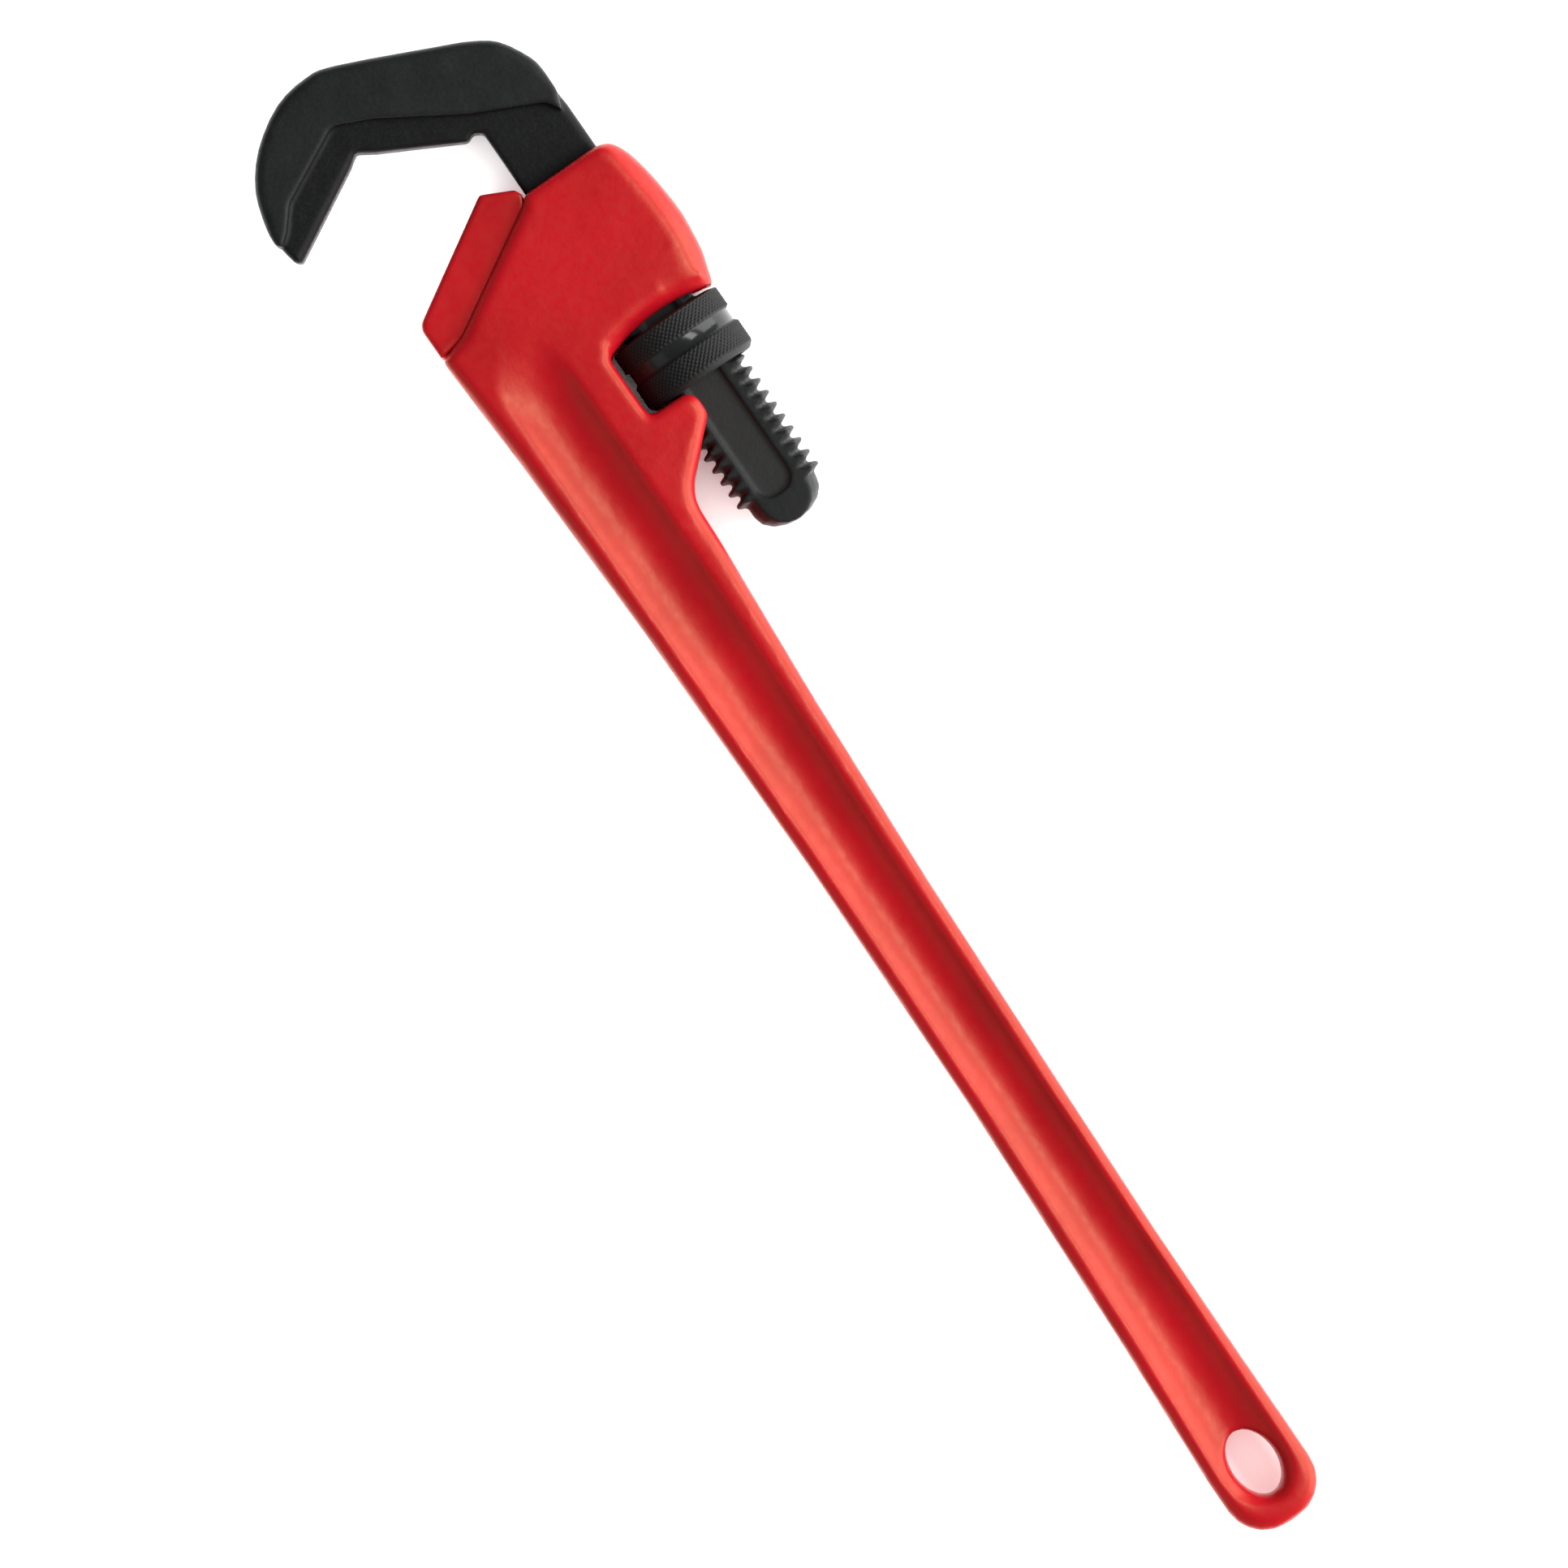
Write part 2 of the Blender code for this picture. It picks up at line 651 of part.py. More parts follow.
def coil_spring(steel):
    """Short compression spring in the head's front wall, bearing on the shank's front edge."""
    length = COIL_Y[1] - COIL_Y[0] - 2 * COIL_WIRE
    per_turn = 16
    rings = []
    for i in range(COIL_TURNS * per_turn + 1):
        turn = 2 * math.pi * i / per_turn
        middle = Vector((COIL_X, COIL_Y[0] + COIL_WIRE + length * i / (COIL_TURNS * per_turn), 0))
        outward = Vector((math.cos(turn), 0, math.sin(turn)))
        ring = []
        for side in range(6):
            swing = 2 * math.pi * side / 6
            reach = COIL_RADIUS + COIL_WIRE * math.cos(swing)
            ring.append(middle + outward * reach + Vector((0, COIL_WIRE * math.sin(swing), 0)))
        rings.append(ring)
    add("coil_spring", loft(rings), steel)


# ---------------------------------------------------------------- the wrench

for old in list(bpy.data.objects):
    bpy.data.objects.remove(old)

frame = bpy.data.objects.new("wrench_frame", None)
frame.location = Vector(FRAME_SHIFT) * MM
bpy.context.collection.objects.link(frame)

red_enamel = finish("red_enamel", "C8161F", 0.32, 0.0)
black_forging = finish("black_forging", "26282A", 0.5, 0.6)
spring_steel = finish("spring_steel", "6E7072", 0.35, 1.0)

handle_housing(red_enamel)
heel_jaw(red_enamel)
heel_jaw_pin(spring_steel)
hook_jaw(black_forging)
adjusting_nut(black_forging)
leaf_spring(spring_steel)
spring_rivet(spring_steel)
coil_spring(spring_steel)
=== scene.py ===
"""The finished pieces of a straight-handled hex wrench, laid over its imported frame.

Sizes in the panel are scene lengths. Those in the code are in millimetres from the nut's
middle: +X towards the hook, +Y towards the jaws, +Z up out of the wrench's side.
"""

import json
import math

import bmesh
import bpy
from bpy.props import FloatProperty, FloatVectorProperty, IntProperty, PointerProperty
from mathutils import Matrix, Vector


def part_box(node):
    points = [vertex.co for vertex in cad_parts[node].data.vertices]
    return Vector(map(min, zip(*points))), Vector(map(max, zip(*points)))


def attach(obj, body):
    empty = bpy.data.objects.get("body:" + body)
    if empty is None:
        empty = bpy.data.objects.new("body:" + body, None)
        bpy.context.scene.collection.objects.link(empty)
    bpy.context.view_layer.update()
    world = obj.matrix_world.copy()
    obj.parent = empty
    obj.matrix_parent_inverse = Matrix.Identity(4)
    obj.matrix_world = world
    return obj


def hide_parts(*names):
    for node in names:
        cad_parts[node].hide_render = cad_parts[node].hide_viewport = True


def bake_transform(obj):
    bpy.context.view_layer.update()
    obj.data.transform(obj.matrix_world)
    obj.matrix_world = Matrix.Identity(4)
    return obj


bl_info = {
    "name": "Hex wrench",
    "version": (1, 0, 0),
    "blender": (4, 5, 0),
    "location": "3D View > Sidebar > Wrench",
    "description": "Casting, hook, nut, jaw and springs of a hex wrench, and a studio to see it in",
    "category": "Object",
}

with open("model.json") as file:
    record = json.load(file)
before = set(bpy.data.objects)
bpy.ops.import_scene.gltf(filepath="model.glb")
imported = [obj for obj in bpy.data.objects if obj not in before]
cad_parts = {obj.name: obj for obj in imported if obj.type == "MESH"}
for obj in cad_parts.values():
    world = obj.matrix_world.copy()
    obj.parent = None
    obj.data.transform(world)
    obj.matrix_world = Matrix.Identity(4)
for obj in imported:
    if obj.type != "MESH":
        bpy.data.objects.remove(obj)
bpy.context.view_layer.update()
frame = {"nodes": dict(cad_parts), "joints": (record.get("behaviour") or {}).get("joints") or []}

MM = 0.001
# the nut turns about the shank's axis, which lies 1 mm to the jaw side of the origin
AXIS = Vector(next(joint["pos_m"] for joint in frame["joints"] if joint["name"] == "nut_spin"))
ORIGIN = AXIS - Vector((0, 1, 0)) * MM
NUT_LOW = (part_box("adjusting_nut")[0].x - ORIGIN.x) / MM
NUT_RADIUS = (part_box("adjusting_nut")[1].y - AXIS.y) / MM
BORE_RADIUS = 13.6
GROOVE = (-0.4, 3.9)
PITCH = 4.05
KNURL_SAMPLES = 6
# the step in the head that the lower jaw stands in
STEP_TOP = Vector((59.4, 15.6, 0.0))
STEP_LOW = Vector((39.2, 50.2, 0.0))
# faces of the lower jaw within this reach of the step go under the casting's edge
SEAM_REACH = (-0.5, 0.9)
SEAM_COVER = 1.6
# the corner of the head's flat between the spine and the nut's window
CORNER = (17.0, -12.0)
CORNER_RADIUS = 9.0
CORNER_ABOVE = 9.5
CORNER_PASSES = 40
# heights from the middle, on each side, where one face of the hook gives way to the next
PANEL_TO_PLATE = (6.7, 7.2)
PLATE_TO_HOOK = (8.2, 9.8)
TAIL_FROM = (40.0, 20.0)
# distances from the groove's middle over which its gloss and its painted sheen fade
GROOVE_FADE = (1.7, 2.2)
# radius of the floor, and how far below the wrench it lies
FLOOR_RADIUS = 12.0
FLOOR_DROP = 0.3
# the camera looks straight down with the hook at the upper left
VIEW_MIDDLE = (-115.9, 47.3)
VIEW_WIDTH = 441.6
VIEW_DISTANCE = 4.0
VIEW_TURN = -124.64


# ---------------------------------------------------------------- shaping tools


def place(x, y, z=0.0):
    """World point of a position in millimetres."""
    return ORIGIN + Vector((x, y, z)) * MM


def merged_copy(node):
    """Bmesh of a frame node with its loose triangles joined up."""
    if node not in frame["nodes"]:
        raise RuntimeError(f"the frame has no node named {node}")
    bm = bmesh.new()
    bm.from_mesh(frame["nodes"][node].data)
    bmesh.ops.remove_doubles(bm, verts=bm.verts, dist=0.004 * MM)
    return bm


def piece(name, bm, material, sharp_deg=180.0):
    """Object at the origin from a closed bmesh."""
    if any(not edge.is_manifold for edge in bm.edges):
        raise RuntimeError(f"{name} isn't closed")
    mesh = bpy.data.meshes.new(name)
    bm.to_mesh(mesh)
    bm.free()
    mesh.shade_smooth()
    if sharp_deg < 180.0:
        mesh.set_sharp_from_angle(angle=math.radians(sharp_deg))
    mesh.materials.clear()
    mesh.materials.append(material)
    obj = bpy.data.objects.new(name, mesh)
    bpy.context.scene.collection.objects.link(obj)
    return obj


def smooth(bm, verts, flat=False):
    """Eases vertices halfway to the middle of their neighbours, in height alone if flat."""
    sideways = not flat
    bmesh.ops.smooth_vert(
        bm, verts=verts, factor=0.5, use_axis_x=sideways, use_axis_y=sideways, use_axis_z=True
    )


def round_corner(obj, centre, radius, above, passes):
    """Rounds a corner of both side faces by moving its points in height, so its outline stays."""
    bm = bmesh.new()
    bm.from_mesh(obj.data)
    near = [v for v in bm.verts if (v.co.xy - centre.xy).length < radius and abs(v.co.z - AXIS.z) > above]
    for _ in range(passes):
        smooth(bm, near, flat=True)
    bm.to_mesh(obj.data)
    bm.free()


def remesh(obj, grain_size, smoothing):
    """Rebuilds a piece as an even skin of small quads and softens its edges."""
    modifier = obj.modifiers.new("skin", "REMESH")
    modifier.mode = "VOXEL"
    modifier.voxel_size = grain_size
    modifier.use_smooth_shade = True
    bpy.context.view_layer.update()
    shaped = obj.evaluated_get(bpy.context.evaluated_depsgraph_get())
    bm = bmesh.new()
    bm.from_mesh(shaped.to_mesh())
    shaped.to_mesh_clear()
    obj.modifiers.clear()
    for _ in range(smoothing):
        smooth(bm, bm.verts)
    bm.to_mesh(obj.data)
    bm.free()
    obj.data.shade_smooth()


def spin(bm, geometry, angle, steps, climb=0.0, cent=AXIS, axis=(1, 0, 0), merge=False):
    """Turns geometry round an axis, climbing along it, and gives back the last ring."""
    step = Vector(axis) * climb * MM / steps
    made = bmesh.ops.spin(
        bm, geom=geometry, cent=cent, axis=axis, dvec=step, angle=angle, steps=steps, use_merge=merge
    )
    return made["geom_last"]


def tidy(bm):
    """Merges doubles and points the faces outwards."""
    bmesh.ops.remove_doubles(bm, verts=bm.verts, dist=0.003 * MM)
    bmesh.ops.recalc_face_normals(bm, faces=bm.faces)
    return bm


def soften(bm, width, segments=2, degrees=40.0):
    """Rounds the edges that turn by more than an angle."""
    limit = math.radians(degrees)
    edges = [edge for edge in bm.edges if edge.calc_face_angle(0.0) > limit]
    bmesh.ops.bevel(
        bm,
        geom=edges,
        offset=width * MM,
        offset_type="OFFSET",
        affect="EDGES",
        segments=segments,
        profile=0.5,
        material=-1,
        clamp_overlap=True,
    )
    return bm


# ---------------------------------------------------------------- finishes


def linear(colour):
    """Linear RGBA from an sRGB hex colour."""
    channels = [int(colour[i : i + 2], 16) / 255 for i in (0, 2, 4)]
    return (*(c / 12.92 if c <= 0.04045 else ((c + 0.055) / 1.055) ** 2.4 for c in channels), 1.0)


def add_node(tree, kind, links, output=0, **settings):
    """Adds a node with its settings and inputs, each a value or another node's output."""
    node = tree.nodes.new(kind)
    for name, value in settings.items():
        setattr(node, name, value)
    for name, value in links.items():
        if isinstance(value, bpy.types.NodeSocket):
            tree.links.new(value, node.inputs[name])
        else:
            node.inputs[name].default_value = value
    return node.outputs[output]


def start_finish(name):
    """New node material: its tree, its shader and the object's own coordinates."""
    material = bpy.data.materials.new(name)
    material.use_nodes = True
    tree = material.node_tree
    place_of = add_node(tree, "ShaderNodeTexCoord", {}, "Object")
    return material, tree, tree.nodes["Principled BSDF"], place_of


def blotches(tree, place_of, size_mm, detail=2.0):
    """Noise whose blotches are about size_mm across."""
    links = {"Vector": place_of, "Scale": 1 / (size_mm * MM), "Detail": detail}
    return add_node(tree, "ShaderNodeTexNoise", links, "Fac")


def between(tree, value, low, high, to_low=0.0, to_high=1.0):
    """Value spread from one range to another and held there."""
    links = {"Value": value, "From Min": low, "From Max": high, "To Min": to_low, "To Max": to_high}
    return add_node(tree, "ShaderNodeMapRange", links)


def blend_colour(tree, share, one, two):
    """Colour between two."""
    return add_node(tree, "ShaderNodeMix", {0: share, 6: one, 7: two}, 2, data_type="RGBA")


def maths(tree, operation, *values):
    """One sum."""
    return add_node(tree, "ShaderNodeMath", dict(enumerate(values)), operation=operation)


def relief(tree, height, depth_mm, under=None):
    """Bump of a height map that is depth_mm deep, over another bump."""
    links = {"Height": height, "Distance": depth_mm * MM}
    if under is not None:
        links["Normal"] = under
    return add_node(tree, "ShaderNodeBump", links)


def red_enamel(settings):
    """Baked enamel on sand-cast iron: an even gloss over the casting's soft waves, with painted shade in
    hollows and a painted highlight on edges.
    """
    material, tree, shader, place_of = start_finish("baked_enamel_on_sand_cast_iron")
    edge = add_node(tree, "ShaderNodeNewGeometry", {}, "Pointiness")
    cloud = blotches(tree, place_of, 30.0, 3.0)
    mottle = blotches(tree, place_of, 2.2, 3.0)
    tone = blend_colour(tree, between(tree, cloud, 0.35, 0.65), settings.enamel, settings.enamel_deep)
    tone = blend_colour(tree, between(tree, mottle, 0.45, 0.75, 0.0, 0.35), tone, settings.enamel_deep)
    # painted shade: concave places, found by their pointiness, are darkened as if in shadow
    tone = blend_colour(tree, between(tree, edge, 0.44, 0.49, 0.6, 0.0), tone, settings.enamel_hollow_shade)
    # painted highlight: convex edges, found by their pointiness, are tinted orange as if catching the lamp
    tone = blend_colour(tree, between(tree, edge, 0.53, 0.6, 0.0, 0.6), tone, settings.enamel_edge_highlight)
    tree.links.new(tone, shader.inputs["Base Color"])
    tree.links.new(between(tree, mottle, 0.3, 0.7, 0.32, 0.42), shader.inputs["Roughness"])
    shader.inputs["Specular Tint"].default_value = linear("FFE4B4")
    shader.inputs["Specular IOR Level"].default_value = 0.6
    # sand grains and orange peel are finer than shows, so they are drawn 1.2 mm wide
    waves = relief(tree, blotches(tree, place_of, 14.0), 0.35)
    peel = relief(tree, blotches(tree, place_of, 1.2), 0.03, waves)
    tree.links.new(peel, shader.inputs["Normal"])
    return material


def black_forging(settings):
    """Drop-forged steel in black oxide: matt and faintly grainy, darker on the machined sunk faces, partly
    for their finish and partly as painted shade.
    """
    material, tree, shader, place_of = start_finish("black_oxide_on_forged_steel")
    edge = add_node(tree, "ShaderNodeNewGeometry", {}, "Pointiness")
    height = add_node(tree, "ShaderNodeSeparateXYZ", {0: place_of}, "Z")
    off_middle = maths(tree, "ABSOLUTE", maths(tree, "SUBTRACT", height, AXIS.z))
    thick = between(tree, off_middle, *(height * MM for height in PLATE_TO_HOOK))
    along = add_node(tree, "ShaderNodeSeparateXYZ", {0: place_of}, "X")
    tail = between(tree, along, *(place(x, 0).x for x in TAIL_FROM))
    low, high = PANEL_TO_PLATE
    sunk = maths(tree, "MULTIPLY", tail, between(tree, off_middle, low * MM, high * MM, 1.0, 0.0))
    cloud = blotches(tree, place_of, 12.0, 4.0)
    speck = blotches(tree, place_of, 0.8)
    forged = blend_colour(tree, between(tree, cloud, 0.35, 0.65), settings.forged, settings.forged_deep)
    # darker black on the sunk plate and shank: partly their machined finish, partly painted shade under the
    # hook's raised rim
    tone = blend_colour(tree, maths(tree, "MAXIMUM", thick, tail), settings.milled_and_shaded, forged)
    tone = blend_colour(tree, sunk, tone, settings.panel)
    tone = blend_colour(tree, between(tree, speck, 0.5, 0.8, 0.0, 0.3), tone, settings.worn_and_sheen)
    tone = blend_colour(tree, between(tree, edge, 0.53, 0.62, 0.0, 0.1), tone, settings.worn_and_sheen)
    tree.links.new(tone, shader.inputs["Base Color"])
    tree.links.new(between(tree, speck, 0.3, 0.7, 0.42, 0.58), shader.inputs["Roughness"])
    shader.inputs["Specular IOR Level"].default_value = 0.22
    swell = relief(tree, blotches(tree, place_of, 9.0, 3.0), 0.25)
    tree.links.new(relief(tree, blotches(tree, place_of, 0.9, 3.0), 0.04, swell), shader.inputs["Normal"])
    return material


def black_turned(settings):
    """Turned and knurled steel in black oxide: dull bands with a groove between them that shines, lightened
    further by painted sheen.
    """
    material, tree, shader, place_of = start_finish("black_oxide_on_turned_steel")
    edge = add_node(tree, "ShaderNodeNewGeometry", {}, "Pointiness")
    along = add_node(tree, "ShaderNodeSeparateXYZ", {0: place_of}, "X")
    middle = place(sum(GROOVE) / 2, 0).x
    near, far = (reach * MM for reach in GROOVE_FADE)
    off_groove = maths(tree, "ABSOLUTE", maths(tree, "SUBTRACT", along, middle))
    speck = blotches(tree, place_of, 1.0, 3.0)
    tone = blend_colour(tree, between(tree, speck, 0.35, 0.7), settings.turned, settings.turned_deep)
    tone = blend_colour(tree, between(tree, edge, 0.52, 0.62, 0.0, 0.6), tone, settings.worn_and_sheen)
    # painted sheen: the groove's black is lightened towards its middle, as if lit
    tone = blend_colour(tree, between(tree, off_groove, near, far, 0.6, 0.0), tone, settings.worn_and_sheen)
    tree.links.new(tone, shader.inputs["Base Color"])
    tree.links.new(between(tree, off_groove, near, far, 0.16, 0.58), shader.inputs["Roughness"])
    shader.inputs["Specular IOR Level"].default_value = 0.36
    tree.links.new(relief(tree, speck, 0.02), shader.inputs["Normal"])
    return material


def ground_steel(settings):
    """Drawn and ground steel: bright, with fine marks along its length."""
    material, tree, shader, place_of = start_finish("ground_spring_steel")
    shader.inputs["Metallic"].default_value = 1.0
    stretched = add_node(tree, "ShaderNodeMapping", {"Vector": place_of, "Scale": (0.06, 1.0, 1.0)})
    mark = blotches(tree, stretched, 0.5)
    cloud = blotches(tree, place_of, 4.0, 3.0)
    tone = blend_colour(tree, between(tree, cloud, 0.35, 0.65), settings.steel, settings.steel_dull)
    tree.links.new(tone, shader.inputs["Base Color"])
    tree.links.new(between(tree, mark, 0.3, 0.7, 0.22, 0.4), shader.inputs["Roughness"])
    tree.links.new(relief(tree, mark, 0.01), shader.inputs["Normal"])
    return material


def matt_floor(settings):
    """Matt painted board: it spreads the light evenly, so that shadows on it stay faint."""
    material, tree, shader, place_of = start_finish("matt_paint_on_board")
    tone = blend_colour(tree, blotches(tree, place_of, 400.0), settings.floor, linear("F4F4F4"))
    tree.links.new(tone, shader.inputs["Base Color"])
    shader.inputs["Roughness"].default_value = 0.9
    return material


# ---------------------------------------------------------------- pieces


def handle_casting(settings):
    """Handle and head, cast in one: the frame's shape under a skin with soft edges."""
    obj = piece("handle_casting", merged_copy("handle_housing"), red_enamel(settings))
    remesh(obj, settings.casting_grain, 3)
    round_corner(obj, place(*CORNER), CORNER_RADIUS * MM, CORNER_ABOVE * MM, CORNER_PASSES)
    return obj


def lower_jaw(settings):
    """Flat-faced lower jaw, enamelled with the casting, whose edge covers the joint between them."""
    bm = merged_copy("heel_jaw")
    along = (STEP_LOW - STEP_TOP).normalized()
    outward = Vector((along.y, -along.x, 0.0))
    nearest, farthest = SEAM_REACH
    for vert in bm.verts:
        out = ((vert.co - ORIGIN) / MM - STEP_TOP).dot(outward)
        if nearest < out < farthest:
            vert.co -= outward * SEAM_COVER * MM
    obj = piece("lower_jaw", bm, red_enamel(settings))
    remesh(obj, settings.forging_grain, 2)
    return obj


def hook_forging(settings):
    """Forged hook jaw and its threaded shank in one."""
    obj = piece("hook_forging", merged_copy("hook_jaw"), black_forging(settings))
    remesh(obj, settings.forging_grain, 2)
    return obj


def press_knurl(bm, settings):
    """Presses two crossing sets of grooves into the nut's bands."""
    crown = NUT_RADIUS * MM
    pitch = 2 * math.pi * crown / settings.knurl_count
    for vert in bm.verts:
        arm = vert.co - AXIS
        arm.x = 0
        if arm.length < crown - 0.01 * MM:
            continue
        turn = math.atan2(arm.z, arm.y) * crown / pitch
        climb = (vert.co.x - ORIGIN.x) / pitch
        valley = max(abs((turn + side * climb) % 1.0 - 0.5) * 2 for side in (1, -1))
        vert.co -= arm.normalized() * settings.knurl_depth * max(valley - 0.3, 0.0) / 0.7


def bore_thread():
    """Ridge of the bore's right-hand thread, wound up the bore."""
    turns, per_turn = 3.75, 48
    bm = bmesh.new()
    corners = [(-1.3, 13.8), (-0.3, 11.0), (0.3, 11.0), (1.3, 13.8)]
    start = -1.5 * PITCH
    face = bm.faces.new([bm.verts.new(place(start + x, 1 + radius)) for x, radius in corners])
    whole = face.verts[:] + face.edges[:] + [face]
    spin(bm, whole, 2 * math.pi * turns, round(per_turn * turns), PITCH * turns)
    return tidy(bm)


def knurled_nut(settings):
    """Ring nut: two knurled bands round a plain groove, a domed top and a threaded bore."""
    crown, floor = NUT_RADIUS, NUT_RADIUS - 1.0
    low, high = GROOVE
    section = [
        (NUT_LOW, BORE_RADIUS),
        (NUT_LOW, crown - 1.9),
        (NUT_LOW + 0.3, crown - 1.3),
        (NUT_LOW + 1.4, crown - 0.25),
        (NUT_LOW + 2.0, crown),
        (low - 0.5, crown),
        (low + 0.1, floor + 0.2),
        (low + 0.5, floor),
        (high - 0.5, floor),
        (high - 0.1, floor + 0.2),
        (high + 0.5, crown),
        (9.8, crown),
        (10.2, crown - 0.2),
        (10.5, crown - 0.9),
        (10.9, 15.0),
        (11.0, 14.2),
        (10.6, BORE_RADIUS),
    ]
    bm = bmesh.new()
    points = [bm.verts.new(place(x, 1 + radius)) for x, radius in section]
    edges = [bm.edges.new(pair) for pair in zip(points, points[1:] + points[:1])]
    pitch = 2 * math.pi * crown / settings.knurl_count
    for band in (edges[4], edges[10]):
        rows = round(band.calc_length() / MM / pitch * KNURL_SAMPLES)
        bmesh.ops.subdivide_edges(bm, edges=[band], cuts=rows - 1)
    spin(bm, bm.verts[:] + bm.edges[:], 2 * math.pi, settings.knurl_count * KNURL_SAMPLES, merge=True)
    tidy(bm)
    press_knurl(bm, settings)
    mesh = bpy.data.meshes.new("bore_thread")
    thread = bore_thread()
    thread.to_mesh(mesh)
    thread.free()
    bm.from_mesh(mesh)
    bpy.data.meshes.remove(mesh)
    return piece("knurled_nut", bm, black_turned(settings), 50.0)


def jaw_pin(settings):
    """Pin through the head's cheeks and the lower jaw's tongue."""
    return piece("jaw_pin", soften(merged_copy("heel_jaw_pin"), 0.35), ground_steel(settings), 50.0)


def flat_spring(settings):
    """Flat spring behind the shank, riveted to the head, with softened edges."""
    return piece("flat_spring", soften(merged_copy("leaf_spring"), 0.12), ground_steel(settings), 50.0)


def rivet(settings):
    """Flush rivet of the flat spring."""
    return piece("rivet", soften(merged_copy("spring_rivet"), 0.15), ground_steel(settings), 50.0)


def wound_spring(settings):
    """Compression spring of round wire with closed ends."""
    low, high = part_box("coil_spring")
    wire = 0.5
    radius = (high.x - low.x) / 2 / MM - wire
    centre = (low + high) / 2
    centre.y = low.y + wire * MM
    bm = bmesh.new()
    bmesh.ops.create_circle(bm, cap_ends=True, radius=wire * MM, segments=12)
    bmesh.ops.translate(bm, verts=bm.verts, vec=centre + Vector((radius * MM, 0, 0)))
    ring = bm.verts[:] + bm.edges[:] + bm.faces[:]
    for v in bm.verts:
        offset = v.co - centre
        v.co = centre + Vector((offset.x, offset.y, 0))
    closed = 2 * wire + 0.05
    open_climb = (high.y - low.y) / MM - 2 * wire - 2 * closed
    for turns, climb in ((1, closed), (3, open_climb), (1, closed)):
        ring = spin(bm, ring, 2 * math.pi * turns, 24 * turns, climb, cent=centre, axis=(0, 1, 0))
    return piece("wound_spring", tidy(bm), ground_steel(settings))


# ---------------------------------------------------------------- studio


def aim(obj, target):
    """Points a lamp at a target."""
    obj.rotation_mode = "QUATERNION"
    obj.rotation_quaternion = (target - obj.location).to_track_quat("-Z", "Y")


def softbox(name, direction, distance, size, power, lit):
    """Rectangular soft lamp aimed at the wrench, lighting only the objects in a collection."""
    lamp = bpy.data.lights.new(name, "AREA")
    lamp.shape = "RECTANGLE"
    lamp.size, lamp.size_y = size
    lamp.energy = power
    obj = bpy.data.objects.new(name, lamp)
    obj.location = Vector(direction).normalized() * distance
    obj.visible_camera = False
    obj.light_linking.receiver_collection = lit
    bpy.context.scene.collection.objects.link(obj)
    aim(obj, Vector((0, 0, 0)))


def light_group(name, objects):
    """Collection of objects that some of the lamps light."""
    group = bpy.data.collections.new(name)
    for obj in objects:
        group.objects.link(obj)
    return group


def studio(settings):
    """Pale floor with a lamp of its own, three softboxes for the wrench, a pale room and the camera."""
    pieces = [obj for obj in bpy.context.scene.objects if obj.type == "MESH"]
    bm = bmesh.new()
    bmesh.ops.create_circle(bm, cap_ends=True, radius=FLOOR_RADIUS, segments=96)
    bmesh.ops.translate(bm, verts=bm.verts, vec=(0, 0, -FLOOR_DROP * MM))
    mesh = bpy.data.meshes.new("floor")
    bm.to_mesh(mesh)
    bm.free()
    mesh.materials.append(matt_floor(settings))
    floor = bpy.data.objects.new("floor", mesh)
    bpy.context.scene.collection.objects.link(floor)

    on_wrench = light_group("lit_wrench", pieces)
    on_floor = light_group("lit_floor", [floor])
    softbox("key_softbox", (-0.4, -0.9, 0.4), 1.5, (2.0, 1.2), settings.key_power, on_wrench)
    softbox("top_softbox", (-0.2, -0.6, 1.2), 1.8, (1.2, 0.5), settings.top_power, on_wrench)
    softbox("fill_softbox", (0.1, 1.0, 0.8), 1.6, (1.4, 0.8), settings.fill_power, on_wrench)
    softbox("floor_softbox", (0.0, 0.0, 1.0), 1.6, (3.0, 3.0), settings.floor_power, on_floor)

    world = bpy.data.worlds.new("pale_room")
    world.use_nodes = True
    bpy.context.scene.world = world
    tree = world.node_tree
    direction = add_node(tree, "ShaderNodeTexCoord", {}, "Generated")
    rise = add_node(tree, "ShaderNodeSeparateXYZ", {0: direction}, "Z")
    glow = between(tree, rise, 0.1, 0.9, settings.room_light, settings.room_light * 0.3)
    tree.links.new(glow, tree.nodes["Background"].inputs["Strength"])
    tree.nodes["Background"].inputs["Color"].default_value = linear("FFFFFF")

    camera = bpy.data.cameras.new("camera")
    camera.sensor_width = 36.0
    camera.lens = camera.sensor_width * VIEW_DISTANCE / (VIEW_WIDTH * MM)
    camera.clip_end = 30.0
    obj = bpy.data.objects.new("camera", camera)
    obj.rotation_euler.z = math.radians(VIEW_TURN)
    obj.location = place(*VIEW_MIDDLE) + Vector((0, 0, VIEW_DISTANCE))
    bpy.context.scene.collection.objects.link(obj)
    bpy.context.scene.camera = obj
    bpy.context.scene.view_settings.view_transform = "Standard"


# ---------------------------------------------------------------- add-on


def colour(name, description, code):
    """Colour of a finish, from its sRGB hex code."""
    return FloatVectorProperty(
        name=name, description=description, subtype="COLOR", size=4, min=0.0, max=1.0, default=linear(code)
    )


def length(name, description, default_mm):
    """Length, given in millimetres."""
    return FloatProperty(
        name=name,
        description=description,
        default=default_mm * MM,
        min=0.0,
        precision=5,
        subtype="DISTANCE",
        unit="LENGTH",
    )


def power(name, description, watts):
    """Power of a lamp."""
    return FloatProperty(name=name, description=description, default=watts, min=0.0, unit="POWER")


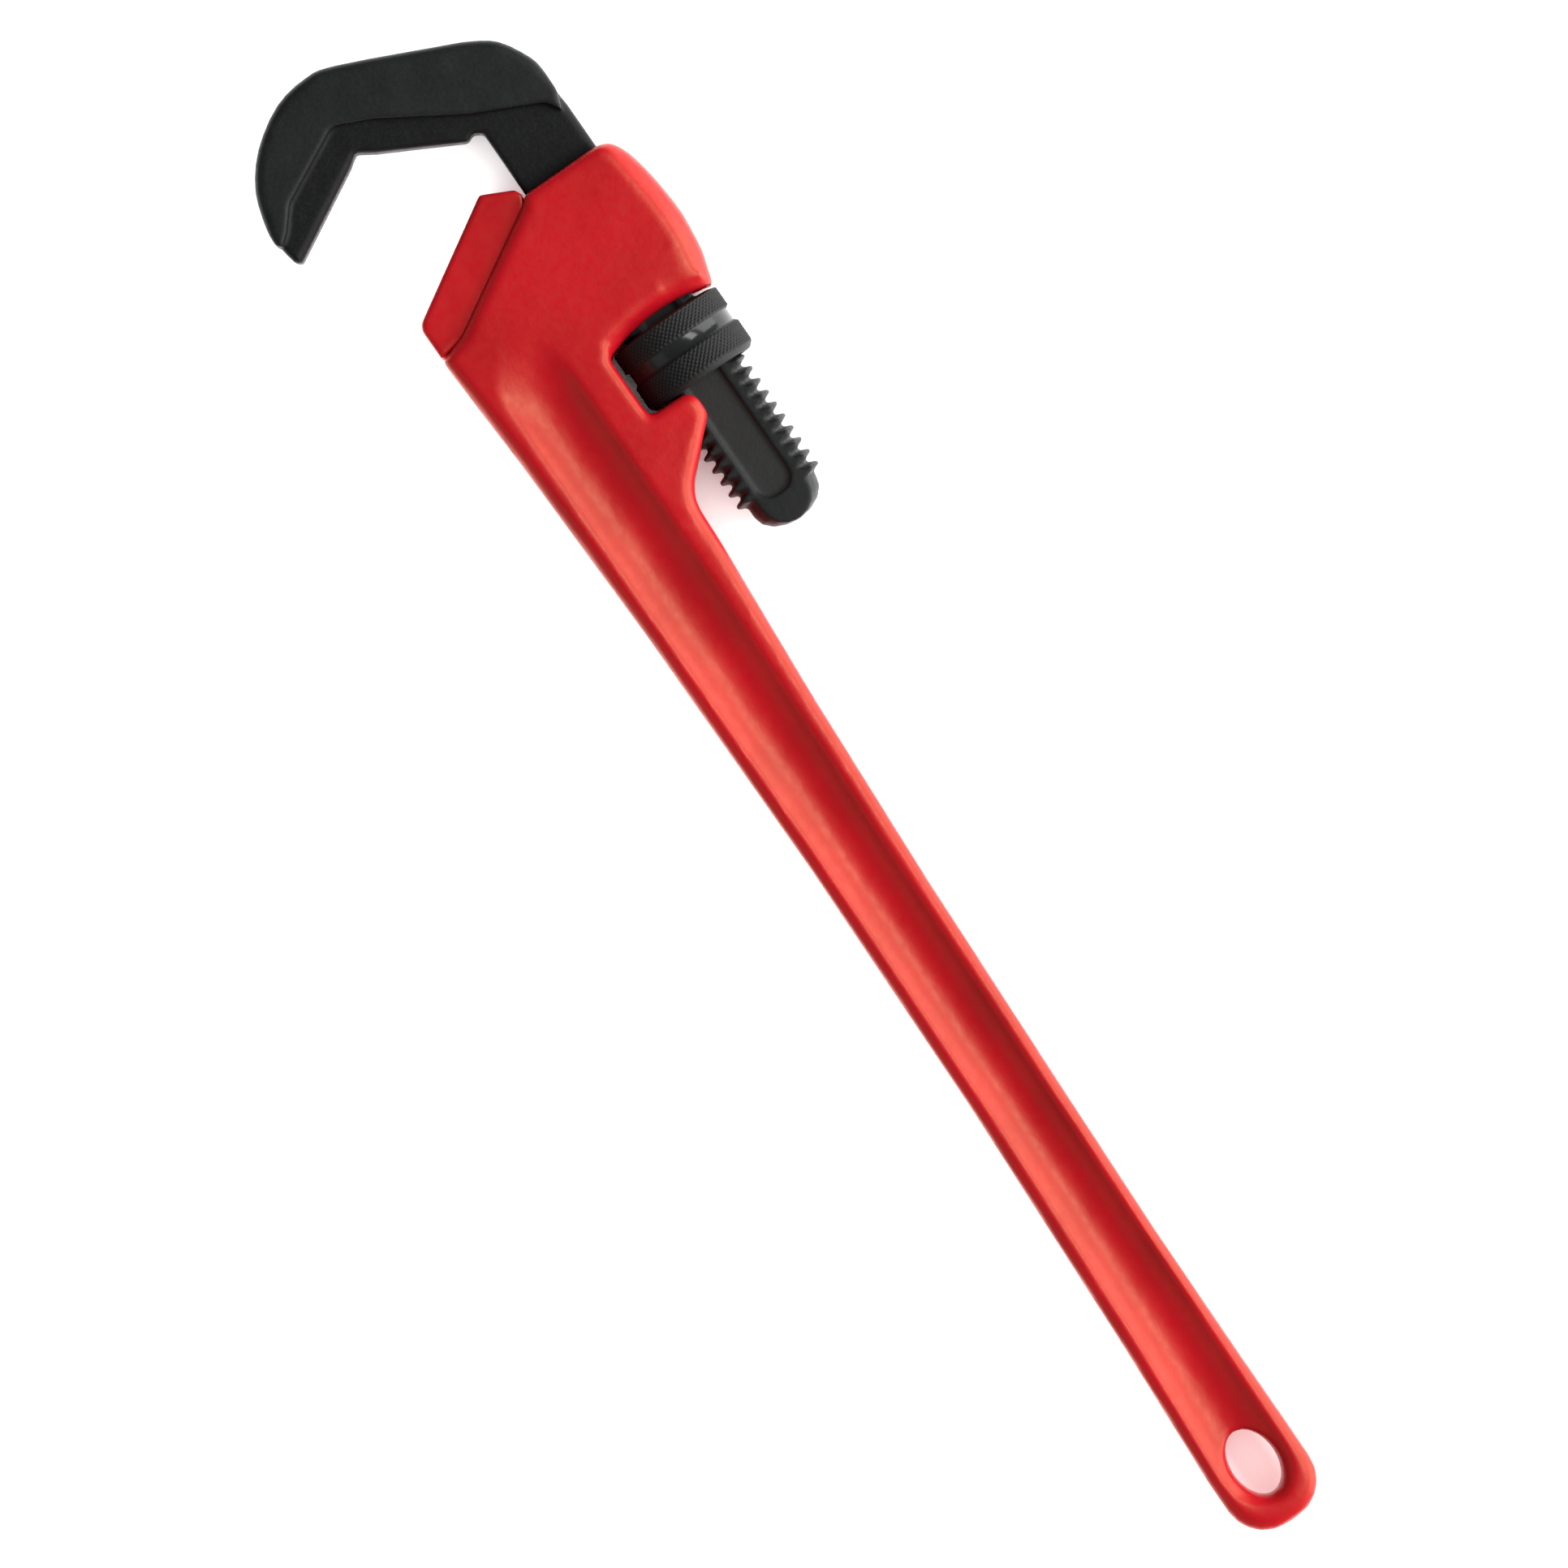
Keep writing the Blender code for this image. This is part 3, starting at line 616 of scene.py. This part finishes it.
class WrenchSettings(bpy.types.PropertyGroup):
    """Sizes and colours of the wrench and the strength of its lamps."""

    casting_grain: length("Casting grain", "Size of the quads on the casting", 0.9)
    forging_grain: length("Forging grain", "Size of the quads on the hook and the lower jaw", 0.53)
    knurl_depth: length("Knurl depth", "Depth of the grooves pressed into the nut's bands", 0.4)
    knurl_count: IntProperty(name="Knurls", description="Knurls round the nut", default=72, min=24, max=120)
    enamel: colour("Enamel", "Red enamel", "D81024")
    enamel_deep: colour("Enamel, deep", "Red enamel where it lies thicker", "C80F20")
    # painted shade in the casting's hollows
    enamel_hollow_shade: colour("Enamel in hollows", "Red enamel where it pools", "A50C1A")
    # painted orange highlight on the casting's edges
    enamel_edge_highlight: colour("Enamel on edges", "Red enamel where it thins", "C8201F")
    forged: colour("Forged", "Black oxide on the forged faces", "252626")
    forged_deep: colour("Forged, deep", "Black oxide in the forging's dips", "1E2020")
    # darker black on the sunk faces, partly their machined finish and partly painted shade
    milled_and_shaded: colour("Milled", "Black oxide on the milled faces", "151616")
    panel: colour("Panel", "Black oxide in the shank's sunk panels", "303130")
    turned: colour("Turned", "Black oxide on the nut", "1A1C1A")
    turned_deep: colour("Turned, deep", "Black oxide in the nut's grain", "121413")
    # the same lighter black stands as painted sheen in the nut's groove
    worn_and_sheen: colour("Worn", "Black oxide where handling has thinned it", "303231")
    steel: colour("Steel", "Spring steel", "8A8C8E")
    steel_dull: colour("Steel, dull", "Spring steel where it has dulled", "6E7072")
    floor: colour("Floor", "Painted board under the wrench", "F6F6F6")
    key_power: power("Key", "Power of the softbox on the spine's side", 33.0)
    top_power: power("Top", "Power of the softbox overhead", 15.0)
    fill_power: power("Fill", "Power of the softbox on the jaws' side", 1.2)
    floor_power: power("Floor lamp", "Power of the lamp that lights the floor alone", 150.0)
    room_light: FloatProperty(name="Room", description="Brightness of the pale room", default=0.2, min=0.0)


def fit(obj, body, node):
    """Lets a piece ride on a body in place of a frame node."""
    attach(obj, body)
    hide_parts(node)


class WRENCH_OT_casting(bpy.types.Operator):
    """Adds the handle and head"""

    bl_idname = "wrench.casting"
    bl_label = "Handle and head"

    def execute(self, context):
        fit(handle_casting(context.scene.wrench), "housing", "handle_housing")
        return {"FINISHED"}


class WRENCH_OT_lower_jaw(bpy.types.Operator):
    """Adds the lower jaw and its pin"""

    bl_idname = "wrench.lower_jaw"
    bl_label = "Lower jaw"

    def execute(self, context):
        fit(lower_jaw(context.scene.wrench), "housing", "heel_jaw")
        fit(jaw_pin(context.scene.wrench), "housing", "heel_jaw_pin")
        return {"FINISHED"}


class WRENCH_OT_hook(bpy.types.Operator):
    """Adds the hook jaw"""

    bl_idname = "wrench.hook"
    bl_label = "Hook jaw"

    def execute(self, context):
        fit(hook_forging(context.scene.wrench), "hook", "hook_jaw")
        return {"FINISHED"}


class WRENCH_OT_nut(bpy.types.Operator):
    """Adds the knurled ring nut"""

    bl_idname = "wrench.nut"
    bl_label = "Ring nut"

    def execute(self, context):
        fit(knurled_nut(context.scene.wrench), "nut", "adjusting_nut")
        return {"FINISHED"}


class WRENCH_OT_springs(bpy.types.Operator):
    """Adds the flat spring with its rivet, and the wound spring"""

    bl_idname = "wrench.springs"
    bl_label = "Springs"

    def execute(self, context):
        settings = context.scene.wrench
        fit(wound_spring(settings), "housing", "coil_spring")
        fit(rivet(settings), "housing", "spring_rivet")
        leaf = flat_spring(settings)
        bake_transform(leaf)
        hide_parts("leaf_spring")
        return {"FINISHED"}


class WRENCH_OT_studio(bpy.types.Operator):
    """Adds the floor, the lamps and the camera"""

    bl_idname = "wrench.studio"
    bl_label = "Studio"

    def execute(self, context):
        studio(context.scene.wrench)
        return {"FINISHED"}


class WRENCH_PT_panel(bpy.types.Panel):
    """Lists the wrench's settings and pieces"""

    bl_label = "Hex wrench"
    bl_idname = "WRENCH_PT_panel"
    bl_space_type = "VIEW_3D"
    bl_region_type = "UI"
    bl_category = "Wrench"

    def draw(self, context):
        for name in WrenchSettings.__annotations__:
            self.layout.prop(context.scene.wrench, name)
        for operator in OPERATORS:
            self.layout.operator(operator.bl_idname)


OPERATORS = (
    WRENCH_OT_casting,
    WRENCH_OT_lower_jaw,
    WRENCH_OT_hook,
    WRENCH_OT_nut,
    WRENCH_OT_springs,
    WRENCH_OT_studio,
)
CLASSES = (WrenchSettings, *OPERATORS, WRENCH_PT_panel)


def register():
    for cls in CLASSES:
        bpy.utils.register_class(cls)
    bpy.types.Scene.wrench = PointerProperty(type=WrenchSettings)


def unregister():
    del bpy.types.Scene.wrench
    for cls in reversed(CLASSES):
        bpy.utils.unregister_class(cls)


def main():
    """Builds every piece and the studio."""
    register()
    bpy.ops.wrench.casting()
    bpy.ops.wrench.lower_jaw()
    bpy.ops.wrench.hook()
    bpy.ops.wrench.nut()
    bpy.ops.wrench.springs()
    bpy.ops.wrench.studio()


if __name__ == "__main__":
    main()
